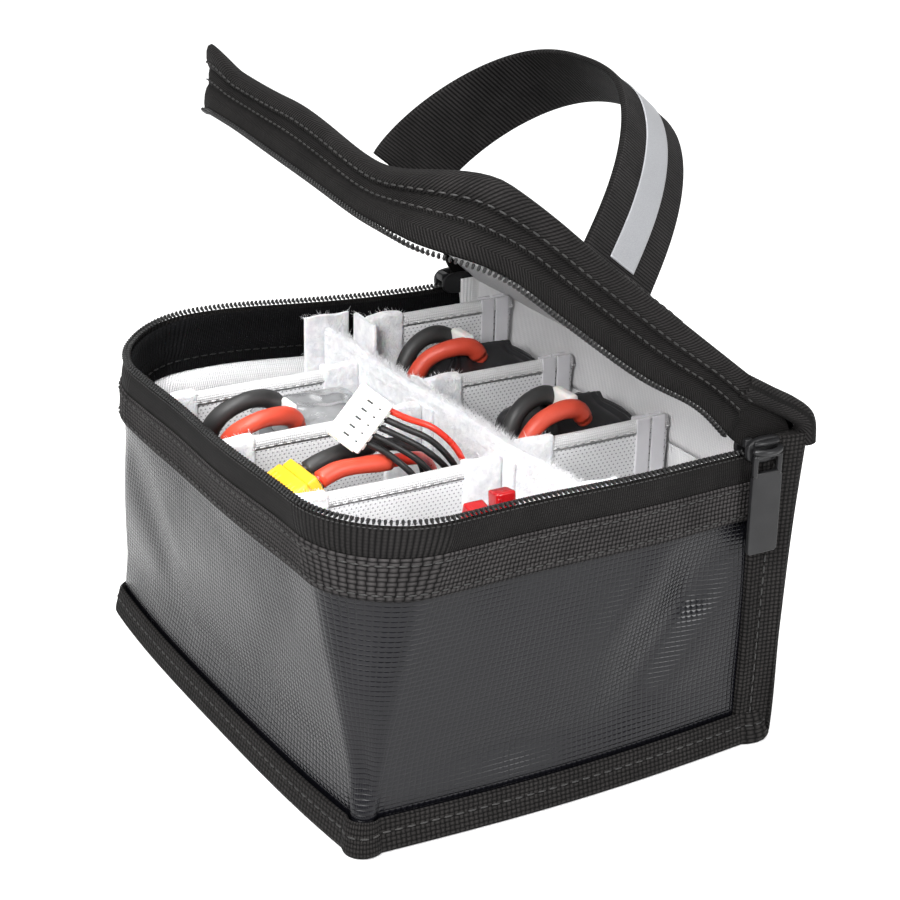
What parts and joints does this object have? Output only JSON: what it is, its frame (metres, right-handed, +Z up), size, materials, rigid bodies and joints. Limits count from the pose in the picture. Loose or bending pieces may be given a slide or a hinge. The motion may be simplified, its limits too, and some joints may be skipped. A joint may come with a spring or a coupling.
{
  "type": "lipo battery carrying bag",
  "caption": "Zip-up fire-resistant carrying bag with lid, webbing handle and adjustable dividers, holding LiPo packs with their leads.",
  "frame": {"origin": "centre of the base, on the surface the bag stands on", "axes": "+Z up; -Y towards the front, where the lid opens; +Y towards the fabric hinge; X along the hinge"},
  "size_m": [0.1648, 0.1451, 0.1655],
  "materials": {
    "coated_fabric": "black coated glass-fibre cloth with a fine square grid and a satin gloss",
    "insulation": "flame-retardant felt between the shell and the lining",
    "grey_lining": "grey woven glass-fibre lining",
    "black_webbing": "black ribbed polyester webbing and binding tape with stitch lines",
    "zip_tape": "black herringbone zip tape",
    "zip_coil": "black nylon coil teeth",
    "white_weave": "white basket-weave glass-fibre cloth",
    "white_loop_pile": "white hook-and-loop pile",
    "reflective_tape": "light grey reflective ribbon",
    "black_zip_metal": "black lacquered die-cast slider and pull",
    "clear_wrap": "grey cells under clear shrink wrap",
    "shrink_wrap": "black shrink wrap",
    "black_silicone": "black silicone wire insulation",
    "red_silicone": "red silicone wire insulation",
    "yellow_nylon": "yellow nylon connector housing",
    "white_nylon": "white nylon balance connector"
  },
  "bodies": {
    "bag": {"bottom_panel": "coated_fabric", "floor_board": "insulation", "floor_lining": "grey_lining", "side_shell": "coated_fabric", "back_shell": "coated_fabric", "side_insulation": "insulation", "back_insulation": "insulation", "wall_lining": "grey_lining", "bottom_binding": "black_webbing", "rear_bindings": "black_webbing", "rim_band": "black_webbing", "inner_rim_band": "black_webbing", "lower_zip_tape": "zip_tape", "lower_zip_teeth": "zip_coil", "long_divider": "white_weave", "front_divider_1": "white_weave", "front_divider_2": "white_weave", "front_divider_3": "white_weave", "hinge_divider_1": "white_weave", "hinge_divider_2": "white_weave", "hinge_divider_3": "white_weave", "divider_tabs": "white_loop_pile", "hinge_gusset": "black_webbing", "pack_a": "clear_wrap", "lead_a_black": "black_silicone", "lead_a_red": "red_silicone", "plug_a": "yellow_nylon", "pack_b": "shrink_wrap", "lead_b_black": "black_silicone", "lead_b_red": "red_silicone", "plug_b": "yellow_nylon", "balance_plug_b": "white_nylon", "balance_wire_1": "red_silicone", "balance_wire_2": "black_silicone", "balance_wire_3": "black_silicone", "balance_wire_4": "black_silicone", "balance_wire_5": "black_silicone", "pack_c": "shrink_wrap", "lead_c_black": "black_silicone", "lead_c_red": "red_silicone", "plug_c": "yellow_nylon", "pack_d": "shrink_wrap", "lead_d_black": "black_silicone", "lead_d_red": "red_silicone", "plug_d": "yellow_nylon", "small_packs": "shrink_wrap"},
    "lid": {"lid_panel": "coated_fabric", "lid_insulation": "insulation", "lid_lining": "grey_lining", "lid_binding": "black_webbing", "lid_band": "black_webbing", "upper_zip_tape": "zip_tape", "upper_zip_teeth": "zip_coil", "strap_ends": "black_webbing"},
    "handle": {"handle_webbing": "black_webbing", "reflective_stripe": "reflective_tape"},
    "slider_right": {"slider_right": "black_zip_metal"},
    "pull_right": {"pull_right": "black_zip_metal"},
    "slider_left": {"slider_left": "black_zip_metal"},
    "pull_left": {"pull_left": "black_zip_metal"}
  },
  "joints": [
    {"name": "lid_hinge", "type": "hinge", "parent": "bag", "child": "lid", "pos_m": [0, 0.042, 0.0854], "axis": [-1, 0, 0], "range_deg": [-38.7, 50], "deforming": ["hinge_gusset"]},
    {"name": "handle_pivot", "type": "hinge", "parent": "lid", "child": "handle", "pos_m": [0, 0.02139, 0.1252], "axis": [-1, 0, 0], "range_deg": [-76, 30]},
    {"name": "slider_right_travel", "type": "slide", "parent": "bag", "child": "slider_right", "axis": [0, -1, 0], "range_m": [0, 0.07], "deforming": ["upper_zip_teeth", "upper_zip_tape"]},
    {"name": "pull_right_swing", "type": "hinge", "parent": "slider_right", "child": "pull_right", "pos_m": [0.07975, 0.0515, 0.0841], "axis": [0, -1, 0], "range_deg": [0, 120]},
    {"name": "slider_left_travel", "type": "slide", "parent": "bag", "child": "slider_left", "axis": [0, -1, 0], "range_m": [0, 0.07]},
    {"name": "pull_left_swing", "type": "hinge", "parent": "slider_left", "child": "pull_left", "pos_m": [-0.07975, 0.0515, 0.0841], "axis": [0, 1, 0], "range_deg": [0, 120]}
  ]
}
